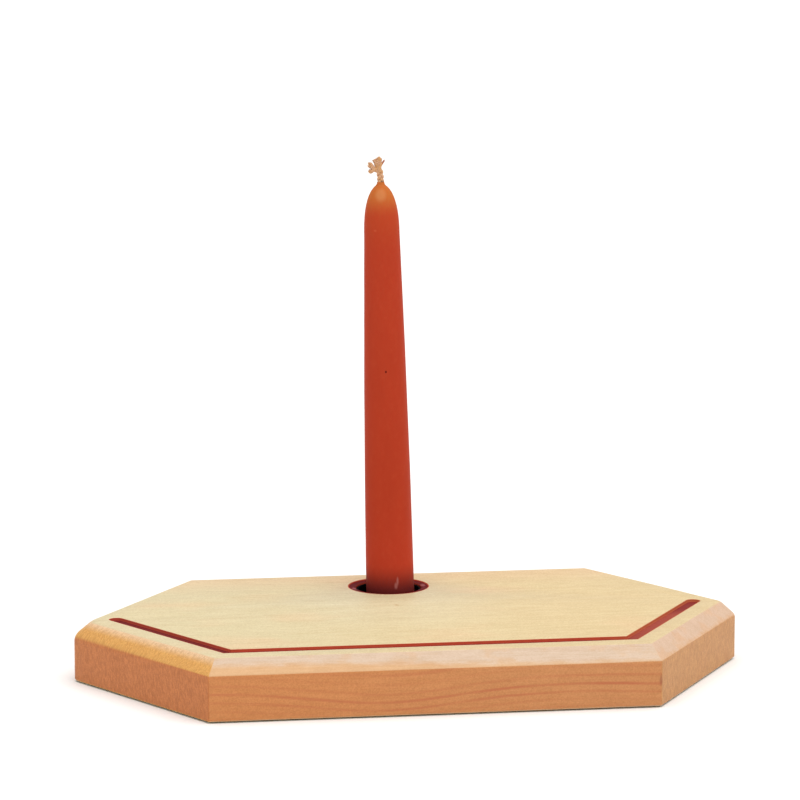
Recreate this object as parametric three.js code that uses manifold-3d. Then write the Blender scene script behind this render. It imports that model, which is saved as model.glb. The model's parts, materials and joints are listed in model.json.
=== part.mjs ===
// Wooden candlestick: a hexagonal maple board with a dark red inlay along its front sides,
// and a taper candle standing in a cup that is sunk into the board toward the back.
// Units are millimetres and +Z is up. The origin is on the table, under the middle of the board.
// +X runs along the board, and -Y is the front, the side with the inlay.
import * as THREE from 'three';
import { mergeVertices } from 'three/addons/utils/BufferGeometryUtils.js';
import Module from 'manifold-3d';

const wasm = await Module();
wasm.setup();

// Play left round every piece that is let into another one.
const PLAY = 0.3;
// Height by which a cutting solid runs past the face that it opens.
const OVERCUT = 1;

// Board: a hexagon with pointed ends, standing on pads. Its back side is a little shorter than
// its front side and sits a little further to the right.
const BOARD_LENGTH = 304.8;
const BOARD_WIDTH = 173.8;
const BOARD_FRONT_SIDE = 198.1;
const BOARD_BACK_SIDE = 196.1;
const BOARD_BACK_SHIFT = 2.9;
const BOARD_THICKNESS = 26.9;
const CHAMFER_WIDTH = 6.1;
const CHAMFER_HEIGHT = 6.7;

// Felt pads, let into the underside near the four blunt corners.
const PAD_RADIUS = 8;
const PAD_THICKNESS = 1.6;
const PAD_PROUD = 0.7;
const PAD_SET_IN = 22;

// Inlay strips: hollowed along their face, with a narrow lip at each edge. The two side strips
// end in a half circle, whose centre is one arm's length from the mitred corner.
const INLAY_SET_IN = 8;
const INLAY_WIDTH = 6.8;
const INLAY_ARM = 84.4;
const INLAY_THICKNESS = 3.6;
const HOLLOW_DEPTH = 1.2;
const LIP = 0.4;

// Socket: the hole in the board, the collar round its mouth and the cup inside it.
const SOCKET_X = -1.45;
const SOCKET_Y = 54;
const SOCKET_RADIUS = 19;
const COLLAR_THICKNESS = 3.6;
const COLLAR_THROAT_RADIUS = 15.4;
const COLLAR_DEPTH = 0.4;
const COLLAR_FALL = 0.15;
const CUP_RIM_DROP = 1.1;
const CUP_WALL = 0.9;
const CUP_FLOOR = 1.2;
const CUP_SCREW_LAND = 0.1;
const CUP_TAPER = 0.5;
const CUP_CORNER_RADIUS = 2;

// Wood screw through the cup's floor.
const SCREW_LENGTH = 9.5;
const SCREW_RADIUS = 1.6;
const SCREW_HEAD_RADIUS = 3.4;
const SCREW_POINT = 2.6;
const SCREW_HEAD_SLOPE = 0.6;
const SCREW_SLOT_WIDTH = 0.9;
const SCREW_SLOT_DEPTH = 0.8;

// Taper candle: the body swells a little over a straight taper, and the shoulder is an ogive.
const CANDLE_LENGTH = 203.2;
const CANDLE_SUNK = 14;
const CANDLE_FOOT_RADIUS = 11.3;
const CANDLE_SHOULDER_RADIUS = 8.25;
const CANDLE_SHOULDER_LENGTH = 24;
const CANDLE_SWELL = 1.5;
const CANDLE_BEND = 2.5;
const CANDLE_OGIVE = 0.5;
const CANDLE_TIP_RADIUS = 2.3;
const CANDLE_NECK_RADIUS = 1.9;
const CANDLE_NECK_RISE = 1.5;
const CANDLE_FOOT_EASING = 0.8;
const CANDLE_LEAN = THREE.MathUtils.degToRad(1.23);
const CANDLE_FOOT_OFFSET = 1.12;

// Wick: a cord down the middle of the candle, opened into strands above its stem.
const WICK_RADIUS = 1.4;
const WICK_FOOT_GAP = 1;
const WICK_STEM = 6.3;
// Strands in the candle's frame, with heights from the stem's end: a broad tuft in two halves,
// a thick strand to the left, a curl below it and a thin stray strand to the right.
const WICK_STRANDS = [
  { radius: 1.3, points: [[0, 0, -1.2], [-1.1, 0, 2], [-1.9, 0.1, 4.6]] },
  { radius: 1, points: [[0, 0, -0.8], [-0.4, 0, 2.6], [-0.5, 0.1, 6.5]] },
  { radius: 0.9, points: [[-0.4, 0, -0.4], [-2.8, -0.3, 0.9], [-4.9, -0.5, 2.8]] },
  { radius: 0.6, points: [[-2.2, -0.3, 0.6], [-3.9, -0.4, -0.7], [-5.3, -0.4, -0.3]] },
  { radius: 0.35, points: [[-0.4, -0.2, 1], [0.7, -0.3, 2.8], [1.7, -0.3, 4.6]] },
];

const BODY_STEPS = 12;
const SHOULDER_STEPS = 9;
const ROUND_SIDES = 48;
const SCREW_SIDES = 24;
const STRIP_END_STEPS = 12;
const CORD_SIDES = 8;

// Levels and half sizes that follow from the dimensions above.
const HALF_LENGTH = BOARD_LENGTH / 2;
const HALF_WIDTH = BOARD_WIDTH / 2;
const HALF_FRONT = BOARD_FRONT_SIDE / 2;
const HALF_BACK = BOARD_BACK_SIDE / 2;
const BOARD_TOP = PAD_PROUD + BOARD_THICKNESS;
const CANDLE_FOOT_LEVEL = BOARD_TOP - CANDLE_SUNK;
const FOOT_TILT_DROP = CANDLE_FOOT_RADIUS * Math.sin(CANDLE_LEAN);
const CUP_FLOOR_LEVEL = CANDLE_FOOT_LEVEL - FOOT_TILT_DROP - PLAY;
const CUP_UNDERSIDE = CUP_FLOOR_LEVEL - CUP_FLOOR;
const CUP_RIM_RADIUS = COLLAR_THROAT_RADIUS - PLAY;
const INLAY_EDGE = CHAMFER_WIDTH + INLAY_SET_IN;
// Angle through which the board's outline turns at each of its two front corners.
const CORNER_TURN = Math.atan2(HALF_WIDTH, HALF_LENGTH - HALF_FRONT);
const MITRE = CORNER_TURN / 2;
// Corners of the board, counter-clockwise from the left end.
const BOARD_CORNERS = [
  [-HALF_LENGTH, 0],
  [-HALF_FRONT, -HALF_WIDTH],
  [HALF_FRONT, -HALF_WIDTH],
  [HALF_LENGTH, 0],
  [BOARD_BACK_SHIFT + HALF_BACK, HALF_WIDTH],
  [BOARD_BACK_SHIFT - HALF_BACK, HALF_WIDTH],
];

const MAPLE = { color: 0xdcb888, roughness: 0.5, metalness: 0 };
const RED_WOOD = { color: 0x7e2b26, roughness: 0.5, metalness: 0 };
const BLACK_ENAMEL = { color: 0x0b0a0b, roughness: 0.6, metalness: 0.1 };
const ZINC = { color: 0xb5b6b4, roughness: 0.35, metalness: 1 };
const RED_WAX = { color: 0xb23c26, roughness: 0.45, metalness: 0 };
const COTTON = { color: 0xd9a878, roughness: 0.95, metalness: 0 };
const FELT = { color: 0x4a3a30, roughness: 1, metalness: 0 };

// Corners of the board's hexagon with each of its sides moved inward by `inset`.
function hexagon(inset) {
  const corners = BOARD_CORNERS.map(([x, y]) => new THREE.Vector2(x, y));
  const count = corners.length;
  return corners.map((corner, i) => {
    const before = corner.clone().sub(corners[(i + count - 1) % count]).normalize();
    const after = corners[(i + 1) % count].clone().sub(corner).normalize();
    const shift = after.clone().sub(before).multiplyScalar(inset / before.cross(after));
    return corner.clone().add(shift).toArray();
  });
}

// Closed body through horizontal convex outlines with equal numbers of points, lowest first.
function loft(outlines) {
  const count = outlines[0].points.length;
  const vertices = outlines.flatMap(({ points, z }) => points.flatMap(([x, y]) => [x, y, z]));
  const top = (outlines.length - 1) * count;
  const faces = [];
  for (let ring = 0; ring < top; ring += count) {
    for (let i = 0; i < count; i += 1) {
      const a = ring + i;
      const b = ring + ((i + 1) % count);
      faces.push(a, b, b + count, a, b + count, a + count);
    }
  }
  for (let i = 1; i < count - 1; i += 1) {
    faces.push(0, i + 1, i, top, top + i, top + i + 1);
  }
  const geometry = new THREE.BufferGeometry();
  geometry.setAttribute('position', new THREE.Float32BufferAttribute(vertices, 3));
  geometry.setIndex(faces);
  return geometry;
}

// Turned body about +Z from [radius, height] pairs, which run up the outside.
function turned(profile, sides = ROUND_SIDES) {
  const points = profile.map(([radius, height]) => new THREE.Vector2(radius, height));
  return new THREE.LatheGeometry(points, sides).rotateX(Math.PI / 2);
}

// Turned body with a hole along its axis: the profile closes on its first point.
function turnedRing(profile, sides = ROUND_SIDES) {
  return turned([...profile, profile[0]], sides);
}

// Straight round bar from one height to another.
function bar(radius, low, high, sides = ROUND_SIDES) {
  return turned([[0, low], [radius, low], [radius, high], [0, high]], sides);
}

// Solid for joining and cutting: only positions, shared vertices, and no collapsed triangles.
function solid(geometry) {
  const bare = new THREE.BufferGeometry();
  bare.setAttribute('position', geometry.getAttribute('position'));
  bare.setIndex(geometry.getIndex());
  const merged = mergeVertices(bare);
  const index = merged.getIndex().array;
  const faces = [];
  for (let i = 0; i < index.length; i += 3) {
    const [a, b, c] = [index[i], index[i + 1], index[i + 2]];
    if (a !== b && b !== c && c !== a) faces.push(a, b, c);
  }
  return new wasm.Manifold(new wasm.Mesh({
    numProp: 3,
    vertProperties: Float32Array.from(merged.getAttribute('position').array),
    triVerts: Uint32Array.from(faces),
  }));
}

// Geometry of a solid, for its mesh.
function surface(body) {
  const { vertProperties, triVerts } = body.getMesh();
  const geometry = new THREE.BufferGeometry();
  geometry.setAttribute('position', new THREE.BufferAttribute(vertProperties, 3));
  geometry.setIndex(new THREE.BufferAttribute(triVerts, 1));
  return geometry;
}

function cut(geometry, cutters) {
  return surface(cutters.reduce((body, cutter) => body.subtract(solid(cutter)), solid(geometry)));
}

function join(geometries) {
  return surface(geometries.map(solid).reduce((body, other) => body.add(other)));
}

function piece(name, geometry, finish) {
  geometry.computeVertexNormals();
  const mesh = new THREE.Mesh(geometry, new THREE.MeshStandardMaterial(finish));
  mesh.name = name;
  return mesh;
}

// The three strips, each running along its own +X, counter-clockwise round the board. An end
// that is not round is mitred, and `length` is that of the outer edge without any half circle.
function inlayStrips() {
  const [, frontLeft, frontRight] = hexagon(INLAY_EDGE);
  const armStart = [
    frontLeft[0] - INLAY_ARM * Math.cos(CORNER_TURN),
    frontLeft[1] + INLAY_ARM * Math.sin(CORNER_TURN),
  ];
  const front = frontRight[0] - frontLeft[0];
  return [
    { name: 'inlay_left', start: armStart, angle: -CORNER_TURN, length: INLAY_ARM, round: [true, false] },
    { name: 'inlay_front', start: frontLeft, angle: 0, length: front, round: [false, false] },
    { name: 'inlay_right', start: frontRight, angle: CORNER_TURN, length: INLAY_ARM, round: [false, true] },
  ];
}

// Points of one end from the strip's outer edge to its inner one, as [distance in from the end, y].
// The edges are moved in by `side`, and a mitred end is cut back by `back`.
function stripEnd(round, side, back) {
  const [near, far] = [side, INLAY_WIDTH - side];
  if (!round) return [near, far].map((y) => [y * Math.tan(MITRE) + back / Math.cos(MITRE), y]);
  const points = [];
  for (let step = 0; step <= STRIP_END_STEPS; step += 1) {
    const turn = Math.PI * (step / STRIP_END_STEPS);
    const radius = (far - near) / 2;
    points.push([-radius * Math.sin(turn), near + radius * (1 - Math.cos(turn))]);
  }
  return points;
}

function stripBlock({ length, round }, side, back, low, high) {
  const start = stripEnd(round[0], side, back).reverse();
  const end = stripEnd(round[1], side, back).map(([inward, y]) => [length - inward, y]);
  const points = [...start, ...end];
  return loft([{ points, z: low }, { points, z: high }]);
}

function placeStrip(object, { start, angle }) {
  object.position.set(start[0], start[1], BOARD_TOP);
  object.rotation.z = angle;
  object.updateMatrix();
  return object;
}

// The hollow runs through a mitred end and stops behind a lip at a round one.
function inlay(strip) {
  const block = stripBlock(strip, PLAY, PLAY, -INLAY_THICKNESS, 0);
  const hollow = stripBlock(strip, PLAY + LIP, -OVERCUT, -HOLLOW_DEPTH, OVERCUT);
  return placeStrip(piece(strip.name, cut(block, [hollow]), RED_WOOD), strip);
}

function groove(strip) {
  const block = stripBlock(strip, 0, 0, -INLAY_THICKNESS - PLAY, OVERCUT);
  return block.applyMatrix4(placeStrip(new THREE.Object3D(), strip).matrix);
}

function padPlaces() {
  const [, frontLeft, frontRight, , backRight, backLeft] = hexagon(PAD_SET_IN);
  return [
    { name: 'pad_front_left', at: frontLeft },
    { name: 'pad_front_right', at: frontRight },
    { name: 'pad_back_left', at: backLeft },
    { name: 'pad_back_right', at: backRight },
  ];
}

function pad({ name, at }) {
  const mesh = piece(name, bar(PAD_RADIUS, 0, PAD_THICKNESS, SCREW_SIDES), FELT);
  mesh.position.set(at[0], at[1], 0);
  return mesh;
}

function padRecess({ at }) {
  const recess = bar(PAD_RADIUS + PLAY, PAD_PROUD - OVERCUT, PAD_THICKNESS + PLAY, SCREW_SIDES);
  return recess.translate(at[0], at[1], 0);
}

// The socket's steps, from its mouth down: collar seat, cup bore and pilot hole.
function socketBores() {
  const collarSeat = BOARD_TOP - COLLAR_THICKNESS - PLAY;
  const cupSeat = CUP_UNDERSIDE - PLAY;
  const pilotEnd = CUP_FLOOR_LEVEL - SCREW_LENGTH - PLAY;
  return [
    bar(SOCKET_RADIUS, collarSeat, BOARD_TOP + OVERCUT),
    bar(COLLAR_THROAT_RADIUS, cupSeat, BOARD_TOP),
    bar(SCREW_RADIUS + PLAY, pilotEnd, BOARD_TOP, SCREW_SIDES),
  ].map((bore) => bore.translate(SOCKET_X, SOCKET_Y, 0));
}

function baseBoard() {
  const outline = hexagon(0);
  const block = loft([
    { points: outline, z: PAD_PROUD },
    { points: outline, z: BOARD_TOP - CHAMFER_HEIGHT },
    { points: hexagon(CHAMFER_WIDTH), z: BOARD_TOP },
  ]);
  const cutters = [...inlayStrips().map(groove), ...socketBores(), ...padPlaces().map(padRecess)];
  return piece('base_board', cut(block, cutters), MAPLE);
}

// Ring with a flush outer lip and a ledge that falls slightly toward the throat.
function socketCollar() {
  const outer = SOCKET_RADIUS - PLAY;
  const ledge = BOARD_TOP - COLLAR_DEPTH;
  return piece('socket_collar', turnedRing([
    [COLLAR_THROAT_RADIUS, BOARD_TOP - COLLAR_THICKNESS],
    [outer, BOARD_TOP - COLLAR_THICKNESS],
    [outer, BOARD_TOP],
    [outer - LIP, BOARD_TOP],
    [outer - LIP, ledge],
    [COLLAR_THROAT_RADIUS, ledge - COLLAR_FALL],
  ]), RED_WOOD);
}

// Thin cup that narrows a little downward, with a countersunk screw hole in its floor.
function candleCup() {
  const rim = BOARD_TOP - CUP_RIM_DROP;
  const foot = CUP_RIM_RADIUS - CUP_TAPER;
  const hole = SCREW_RADIUS + PLAY;
  const countersink = SCREW_HEAD_RADIUS + PLAY;
  return piece('candle_cup', turnedRing([
    [hole, CUP_UNDERSIDE],
    [foot - CUP_CORNER_RADIUS, CUP_UNDERSIDE],
    [foot, CUP_UNDERSIDE + CUP_CORNER_RADIUS],
    [CUP_RIM_RADIUS, rim],
    [CUP_RIM_RADIUS - CUP_WALL, rim],
    [foot - CUP_WALL, CUP_FLOOR_LEVEL],
    [countersink, CUP_FLOOR_LEVEL],
    [hole, CUP_UNDERSIDE + CUP_SCREW_LAND],
  ]), BLACK_ENAMEL);
}

function cupScrew() {
  const top = -PLAY / 2;
  const neck = top - (SCREW_HEAD_RADIUS - SCREW_RADIUS) * SCREW_HEAD_SLOPE;
  const shank = turned([
    [0, -SCREW_LENGTH],
    [SCREW_RADIUS, SCREW_POINT - SCREW_LENGTH],
    [SCREW_RADIUS, neck],
    [SCREW_HEAD_RADIUS, top],
    [0, top],
  ], SCREW_SIDES);
  const reach = 2 * (SCREW_HEAD_RADIUS + OVERCUT);
  const slot = new THREE.BoxGeometry(reach, SCREW_SLOT_WIDTH, 2 * SCREW_SLOT_DEPTH);
  return piece('cup_screw', cut(shank, [slot.translate(0, 0, top)]), ZINC);
}

// Radius of the candle's body at a height above its foot.
function bodyRadius(height) {
  const share = height / (CANDLE_LENGTH - CANDLE_SHOULDER_LENGTH);
  return CANDLE_FOOT_RADIUS - (CANDLE_FOOT_RADIUS - CANDLE_SHOULDER_RADIUS) * share ** CANDLE_SWELL;
}

// Wax with a hole for the wick, from foot to tip along its own axis. The tip ends in a narrow
// neck, where the wax climbs the wick.
function candleWax() {
  const bore = WICK_RADIUS + PLAY;
  const shoulder = CANDLE_LENGTH - CANDLE_SHOULDER_LENGTH;
  const narrowing = (CANDLE_TIP_RADIUS / CANDLE_SHOULDER_RADIUS) ** (1 / CANDLE_OGIVE);
  const tipShare = (1 - narrowing) ** (1 / CANDLE_BEND);
  const profile = [[bore, 0], [CANDLE_FOOT_RADIUS - CANDLE_FOOT_EASING, 0]];
  for (let step = 0; step < BODY_STEPS; step += 1) {
    const height = Math.max(CANDLE_FOOT_EASING, (shoulder * step) / BODY_STEPS);
    profile.push([bodyRadius(height), height]);
  }
  for (let step = 0; step <= SHOULDER_STEPS; step += 1) {
    const share = tipShare * Math.sin((Math.PI / 2) * (step / SHOULDER_STEPS));
    const radius = CANDLE_SHOULDER_RADIUS * (1 - share ** CANDLE_BEND) ** CANDLE_OGIVE;
    profile.push([radius, shoulder + share * CANDLE_SHOULDER_LENGTH]);
  }
  const neck = profile.at(-1)[1] + CANDLE_NECK_RISE;
  profile.push([CANDLE_NECK_RADIUS, neck], [bore, neck]);
  return piece('candle_wax', turnedRing(profile), RED_WAX);
}

// Round cord of one thickness along a smooth curve through [x, y, z] points.
function cord(points, radius, steps) {
  const section = new THREE.Shape().absarc(0, 0, radius, 0, Math.PI * 2);
  const path = new THREE.CatmullRomCurve3(points.map((point) => new THREE.Vector3(...point)));
  return new THREE.ExtrudeGeometry(section, {
    extrudePath: path,
    steps,
    curveSegments: CORD_SIDES,
    bevelEnabled: false,
  });
}

// Stem and strands, joined into one body.
function candleWick() {
  const end = CANDLE_LENGTH + WICK_STEM;
  const stem = bar(WICK_RADIUS, WICK_FOOT_GAP, end, CORD_SIDES * 2);
  const cords = WICK_STRANDS.map(({ radius, points }) => {
    const lifted = points.map(([x, y, z]) => [x, y, end + z]);
    return cord(lifted, radius, CORD_SIDES);
  });
  return piece('candle_wick', join([stem, ...cords]), COTTON);
}

const socket = new THREE.Group();
socket.position.set(SOCKET_X, SOCKET_Y, 0);
socket.add(socketCollar(), candleCup());

const screw = cupScrew();
screw.position.z = CUP_FLOOR_LEVEL;
socket.add(screw);

const candle = new THREE.Group();
candle.position.set(CANDLE_FOOT_OFFSET, 0, CANDLE_FOOT_LEVEL);
candle.rotation.y = -CANDLE_LEAN;
candle.add(candleWax(), candleWick());
socket.add(candle);

const candlestick = new THREE.Group();
candlestick.add(baseBoard(), ...inlayStrips().map(inlay), socket, ...padPlaces().map(pad));

export default candlestick;
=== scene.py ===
"""Looks of the wooden candlestick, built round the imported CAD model. Metres, +Z up, front toward -Y."""
import json
import math
from types import SimpleNamespace

import bmesh
import bpy
from mathutils import Matrix, Vector, noise


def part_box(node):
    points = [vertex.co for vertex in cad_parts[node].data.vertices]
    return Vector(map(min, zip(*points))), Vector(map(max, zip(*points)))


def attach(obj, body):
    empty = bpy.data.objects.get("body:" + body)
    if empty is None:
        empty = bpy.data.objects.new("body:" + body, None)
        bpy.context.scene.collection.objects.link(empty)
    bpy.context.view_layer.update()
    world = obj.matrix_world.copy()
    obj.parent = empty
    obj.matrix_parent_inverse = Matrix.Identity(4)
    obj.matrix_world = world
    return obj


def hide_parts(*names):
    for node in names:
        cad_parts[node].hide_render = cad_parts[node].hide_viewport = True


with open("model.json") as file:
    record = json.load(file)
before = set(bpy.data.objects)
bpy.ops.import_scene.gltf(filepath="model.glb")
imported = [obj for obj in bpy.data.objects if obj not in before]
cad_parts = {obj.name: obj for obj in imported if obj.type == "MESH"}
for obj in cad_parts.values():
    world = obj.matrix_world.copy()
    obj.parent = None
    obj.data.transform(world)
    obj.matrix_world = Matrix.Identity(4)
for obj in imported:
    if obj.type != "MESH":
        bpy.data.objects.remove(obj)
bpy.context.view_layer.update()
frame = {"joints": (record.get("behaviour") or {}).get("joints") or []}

MM = 0.001
WELD = 1e-7
# Edges flatter than this are shaded smooth; those sharper than the next are bevelled after a cut.
SMOOTH_ANGLE = math.radians(35)
CUT_EDGE_ANGLE = math.radians(40)
STRIP_END_STEPS = 16
CANDLE_SIDES = 120
BODY_STEPS = 120
SHOULDER_STEPS = 46
NECK_STEPS = 8

# Camera at the photograph's viewing angle
CAMERA_AZIMUTH = math.radians(-8.2)
CAMERA_ELEVATION = math.radians(9.18)
CAMERA_DISTANCE = 1.6445
CAMERA_TARGET = Vector((-0.00364, 0, 0.1245))
CAMERA_ROLL = math.radians(-0.07)
CAMERA_LENS = 164.5

# Light: an even pale surround and one very wide soft source
WORLD_STRENGTH = 0.75
SUN_STRENGTH = 2.2
SUN_ANGLE = math.radians(75)
SUN_COLOUR = (1.0, 0.98, 0.95)
SUN_FROM = (0.15, -0.25, 1.0)
SKY_COLOUR = (1.0, 0.99, 0.97, 1.0)
FLOOR_RADII = [0.3, 0.6, 1.2, 2.5, 5, 10, 20, 40]

# Board
FRONT_SIDE = 198.1 * MM
BACK_SIDE = 196.1 * MM
BACK_SHIFT = 2.9 * MM
CHAMFER_WIDTH = 6.1 * MM
CHAMFER_HEIGHT = 6.7 * MM
BLUNT_CORNER_RADIUS = 1.0 * MM
BOTTOM_EDGE_RADIUS = 0.8 * MM
CUT_EDGE_WIDTH = 0.15 * MM
CUT_OVERRUN = 2 * MM
PAD_CLEARANCE = 0.1 * MM
CORNER_STEPS = 8
SIDE_STEPS = 12
# Radii in plan of the two pointed ends, at the board's shoulder and at its top
LEFT_END_RADIUS = (5.0 * MM, 10.0 * MM)
RIGHT_END_RADIUS = (2.5 * MM, 3.0 * MM)
# Radii of the chamfer's lower and upper edge: along the board, at its left end and at its right end
CHAMFER_EDGES = (1.3 * MM, 1.6 * MM)
LEFT_END_EDGES = (6.5 * MM, 4.5 * MM)
RIGHT_END_EDGES = (3.5 * MM, 4.0 * MM)
LEFT_END_REACH = 62 * MM
RIGHT_END_REACH = 26 * MM

# Inlay and collar: a hollow between two narrow lips
INLAY_SET_IN = 8.0 * MM
INLAY_WIDTH = 6.8 * MM
INLAY_ARM = 84.4 * MM
INLAY_THICKNESS = 3.6 * MM
HOLLOW_DEPTH = 1.2 * MM
LIP = 0.35 * MM
LIP_SLOPE = 0.15 * MM
LIP_EDGE = 0.12 * MM
HOLLOW_ROOT = 0.45 * MM
HOLLOW_CROWN = 0.05 * MM
JOINT_GAP = 0.04 * MM
SOCKET_RADIUS = 19.0 * MM
COLLAR_THROAT_RADIUS = 15.4 * MM
COLLAR_DEPTH = 0.4 * MM
COLLAR_FALL = 0.15 * MM
COLLAR_ROOT = 0.2 * MM
COLLAR_SIDES = 160

# Cup and screw
CUP_WALL = 0.9 * MM
CUP_TAPER = 0.5 * MM
CUP_CORNER_RADIUS = 2.0 * MM
CUP_FLOOR = 1.2 * MM
CUP_RIM_EDGE = 0.42 * MM
CUP_FLOOR_EDGE = 1.2 * MM
CUP_HOLE_PLAY = 0.3 * MM
CUP_HOLE_LAND = 0.1 * MM
CUP_HOLE_EDGE = 0.02 * MM
CUP_SINK_PLAY = 0.2 * MM
CUP_SINK_EDGE = 0.05 * MM
CUP_SIDES = 128
SCREW_RADIUS = 1.6 * MM
SCREW_HEAD_RADIUS = 3.4 * MM
SCREW_PITCH = 1.1 * MM
SCREW_THREAD = 0.35 * MM
SCREW_SLOT_WIDTH = 0.9 * MM
SCREW_SLOT_DEPTH = 0.8 * MM
SCREW_SINK_SLOPE = 0.6
SCREW_POINT_LENGTH = 2.6 * MM
SCREW_RUNOUT = 0.8 * MM
SCREW_HEAD_EDGE = 0.12 * MM
SCREW_SIDES = 40
SCREW_STEPS = 110

# Candle
CANDLE_LENGTH = 203.2 * MM
CANDLE_SUNK = 14 * MM
CANDLE_FOOT_RADIUS = 11.3 * MM
CANDLE_SHOULDER_RADIUS = 8.25 * MM
CANDLE_SHOULDER_LENGTH = 24 * MM
CANDLE_SWELL = 1.5
CANDLE_BEND = 2.5
CANDLE_OGIVE = 0.5
CANDLE_TIP_SHARE = 0.965
CANDLE_NECK_RADIUS = 1.7 * MM
CANDLE_NECK_RISE = 1.7 * MM
CANDLE_FOOT_OFFSET = 1.12 * MM
CANDLE_FOOT_EASE = 0.7 * MM
CANDLE_BODY_START = 1.5 * MM
CANDLE_NECK_CURVE = 2.2
# Unevenness of the wax: depth in millimetres, frequency, and how much less it varies upward
WAX_LUMPS = (0.10, 60, 0.36)
WAX_RIPPLES = (0.035, 210, 0.43)
WAX_EVEN_TIP = 6 * MM
WICK_BORE = 1.45 * MM
WICK_BORE_DROP = 0.2 * MM
WICK_START = 1.0 * MM

# Felt pads
PADS = ["pad_front_left", "pad_front_right", "pad_back_left", "pad_back_right"]
PAD_EDGE = 0.3 * MM
PAD_HUB = 0.2 * MM
PAD_SIDES = 72

# Places that follow from the frame
BOARD_LOW, BOARD_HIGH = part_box("base_board")
HALF_LENGTH = BOARD_HIGH.x
HALF_WIDTH = BOARD_HIGH.y
BOARD_TOP = BOARD_HIGH.z
CORNER_TURN = math.atan2(HALF_WIDTH, HALF_LENGTH - FRONT_SIDE / 2)
BOARD_CORNERS = [
    (-HALF_LENGTH, 0),
    (-FRONT_SIDE / 2, -HALF_WIDTH),
    (FRONT_SIDE / 2, -HALF_WIDTH),
    (HALF_LENGTH, 0),
    (BACK_SHIFT + BACK_SIDE / 2, HALF_WIDTH),
    (BACK_SHIFT - BACK_SIDE / 2, HALF_WIDTH),
]
COLLAR_LOW, COLLAR_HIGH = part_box("socket_collar")
SOCKET = (COLLAR_LOW + COLLAR_HIGH) / 2
CUP_LOW, CUP_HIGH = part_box("candle_cup")
SCREW_LOW, SCREW_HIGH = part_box("cup_screw")
INLAY_EDGE = CHAMFER_WIDTH + INLAY_SET_IN
CANDLE_AXIS = Vector(frame["joints"][0]["axis"]).normalized()
CANDLE_FOOT = Vector((SOCKET.x + CANDLE_FOOT_OFFSET, SOCKET.y, BOARD_TOP - CANDLE_SUNK))


# ---------------------------------------------------------------- mesh helpers

def hexagon(inset):
    """Corners of the board with each side moved inward by inset, counter-clockwise from the left end."""
    corners = [Vector(corner) for corner in BOARD_CORNERS]
    moved = []
    for i, corner in enumerate(corners):
        before = (corner - corners[i - 1]).normalized()
        after = (corners[(i + 1) % len(corners)] - corner).normalized()
        moved.append(corner + (after - before) * inset / before.cross(after))
    return moved


def eased(corners, radii, steps, closed):
    """Polyline with each corner rounded, or kept if its radius is 0; an open line keeps its ends."""
    points = [] if closed else [corners[0]]
    picked = range(len(corners)) if closed else range(1, len(corners) - 1)
    for i in picked:
        corner, radius = corners[i], radii[i]
        if radius == 0:
            points.append(corner)
            continue
        come = (corner - corners[i - 1]).normalized()
        go = (corners[(i + 1) % len(corners)] - corner).normalized()
        turn = come.angle(go)
        side = (go - come * math.cos(turn)) / math.sin(turn)
        start = corner - come * radius * math.tan(turn / 2)
        for step in range(steps + 1):
            angle = turn * step / steps
            points.append(start + come * radius * math.sin(angle) + side * radius * (1 - math.cos(angle)))
    return points if closed else points + [corners[-1]]


def join_rings(bm, lower, upper):
    """Faces between two rings that have the same number of points."""
    for i in range(len(lower)):
        j = (i + 1) % len(lower)
        bm.faces.new((lower[i], lower[j], upper[j], upper[i]))


def add_rings(bm, rings, caps=True):
    """Skins a row of point rings, first ring lowest and each ring counter-clockwise from above."""
    made = [[bm.verts.new(point) for point in ring] for ring in rings]
    for lower, upper in zip(made, made[1:]):
        join_rings(bm, lower, upper)
    if caps:
        bm.faces.new(made[0][::-1])
        bm.faces.new(made[-1])
    return made


def turned_rings(profile, sides, centre=(0, 0)):
    """Rings of a turned shape from (radius, height) pairs."""
    angles = [2 * math.pi * i / sides for i in range(sides)]
    return [
        [(centre[0] + r * math.cos(a), centre[1] + r * math.sin(a), z) for a in angles]
        for r, z in profile
    ]


def add_turned_ring(bm, profile, sides, centre=(0, 0)):
    """Turned shape with a hole through it: the profile closes on its first point."""
    made = add_rings(bm, turned_rings(profile, sides, centre), caps=False)
    join_rings(bm, made[-1], made[0])


def add_tube(bm, points, radii, sides):
    """Round bar along points, with a radius for each."""
    angles = [2 * math.pi * k / sides for k in range(sides)]
    side = None
    rings = []
    for i, (point, radius) in enumerate(zip(points, radii)):
        along = (points[min(i + 1, len(points) - 1)] - points[max(i - 1, 0)]).normalized()
        if side is None:
            side = along.orthogonal().normalized()
        side = (side - along * side.dot(along)).normalized()
        up = along.cross(side)
        rings.append([point + radius * (side * math.cos(a) + up * math.sin(a)) for a in angles])
    add_rings(bm, rings)


def new_piece(name, build, smooth_angle=SMOOTH_ANGLE):
    """Object from a function that fills a bmesh; edges sharper than the angle stay crisp."""
    bm = bmesh.new()
    build(bm)
    bmesh.ops.recalc_face_normals(bm, faces=bm.faces)
    mesh = bpy.data.meshes.new(name)
    bm.to_mesh(mesh)
    bm.free()
    obj = bpy.data.objects.new(name, mesh)
    bpy.context.scene.collection.objects.link(obj)
    shade_by_angle(mesh, smooth_angle)
    return obj


def shade_by_angle(mesh, limit):
    mesh.shade_smooth()
    bm = bmesh.new()
    bm.from_mesh(mesh)
    for edge in bm.edges:
        edge.smooth = len(edge.link_faces) == 2 and edge.calc_face_angle(0) < limit
    bm.to_mesh(mesh)
    bm.free()


def settle(obj):
    """Turns the object's modifiers into its own mesh."""
    graph = bpy.context.evaluated_depsgraph_get()
    mesh = bpy.data.meshes.new_from_object(obj.evaluated_get(graph))
    obj.modifiers.clear()
    obj.data = mesh
    shade_by_angle(mesh, SMOOTH_ANGLE)


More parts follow.
